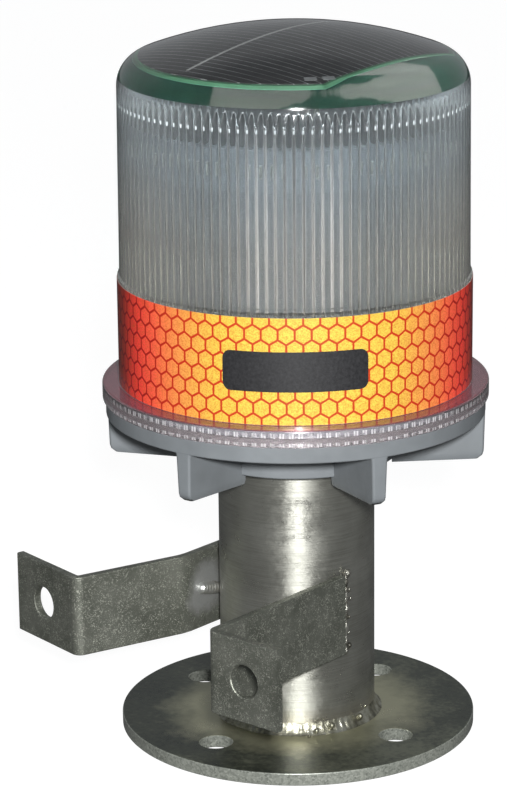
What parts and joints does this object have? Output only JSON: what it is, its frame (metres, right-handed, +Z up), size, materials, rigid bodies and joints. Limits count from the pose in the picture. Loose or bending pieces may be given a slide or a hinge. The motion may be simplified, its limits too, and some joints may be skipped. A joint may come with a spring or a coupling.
{
  "type": "solar warning lantern on mounting post",
  "caption": "Solar-powered LED warning lantern with a clear fluted lens and reflective band, on a short welded steel post with a bolted base plate and two bent side straps.",
  "frame": {"origin": "centre of the base plate's underside, on the post's axis", "axes": "+Z up along the post's axis, -Y the way the side straps reach, bolt holes of the base plate on the X and Y axes"},
  "size_m": [0.1585, 0.1603, 0.275],
  "materials": {
    "plate_steel": "dark mill scale, satin",
    "tube_steel": "brushed, with heat tint near the welds",
    "strap_steel": "speckled blasted steel",
    "weld_metal": "bright rippled bead",
    "base_plastic": "blue-grey moulded, satin",
    "screw_steel": "plain zinc",
    "switch_plastic": "black moulded",
    "button_plastic": "red moulded",
    "drum_plastic": "pale satin",
    "tray_plastic": "black moulded",
    "cell_wrap": "green sleeve over a metal can",
    "contact_metal": "bright",
    "circuit_board": "green solder mask",
    "component_black": "moulded",
    "led_strip": "white solder mask",
    "led_clear": "clear resin over a pale phosphor",
    "wafer": "dark solar wafer",
    "ribbon": "tinned ribbon",
    "lens_clear": "clear polycarbonate, fluted inside",
    "resin_clear": "clear cast resin",
    "seal_rubber": "grey silicone",
    "film": "honeycomb retroreflective film",
    "label": "plain dark film"
  },
  "bodies": {
    "post": {"base_plate": "plate_steel", "post_tube": "tube_steel", "right_strap": "strap_steel", "left_strap": "strap_steel", "base_weld": "weld_metal", "right_strap_weld": "weld_metal", "left_strap_weld": "weld_metal"},
    "lantern": {"lantern_base": "base_plastic", "set_screws": "screw_steel", "switch_body": "switch_plastic", "switch_nut": "screw_steel", "inner_drum": "drum_plastic", "drum_screws": "screw_steel", "battery_tray": "tray_plastic", "battery_cells": "cell_wrap", "battery_contacts": "contact_metal", "battery_cap": "tray_plastic", "battery_bolt": "screw_steel", "control_board": "circuit_board", "control_parts": "component_black", "board_standoffs": "contact_metal", "board_screws": "screw_steel", "led_board": "led_strip", "leds": "led_clear", "pin_block": "component_black", "contact_pins": "contact_metal"},
    "button": {"switch_button": "button_plastic"},
    "seal": {"lens_seal": "seal_rubber"},
    "lens_head": {"lens": "lens_clear", "contact_rings": "contact_metal", "contact_rods": "contact_metal", "solar_board": "circuit_board", "solar_cell": "wafer", "cell_ribbon": "ribbon", "solder_tabs": "ribbon", "panel_resin": "resin_clear", "reflective_band": "film", "blank_label": "label"}
  },
  "joints": [
    {"name": "lantern_turn", "type": "hinge", "parent": "post", "child": "lantern", "pos_m": [0, 0, 0.119], "axis": [0, 0, 1], "continuous": true},
    {"name": "switch_press", "type": "slide", "parent": "lantern", "child": "button", "axis": [0, 0, 1], "range_m": [0, 0.002], "stiffness_N_per_m": 600, "springref_m": -0.002},
    {"name": "lens_lift", "type": "slide", "parent": "lantern", "child": "seal", "axis": [0, 0, 1], "range_m": [0, 0.006]},
    {"name": "lens_turn", "type": "hinge", "parent": "seal", "child": "lens_head", "pos_m": [0, 0, 0.138], "axis": [0, 0, 1], "range_deg": [0, 360]}
  ],
  "couplings": [
    {"joint": "lens_lift", "follows": "lens_turn", "m_per_rad": 0.00095}
  ]
}
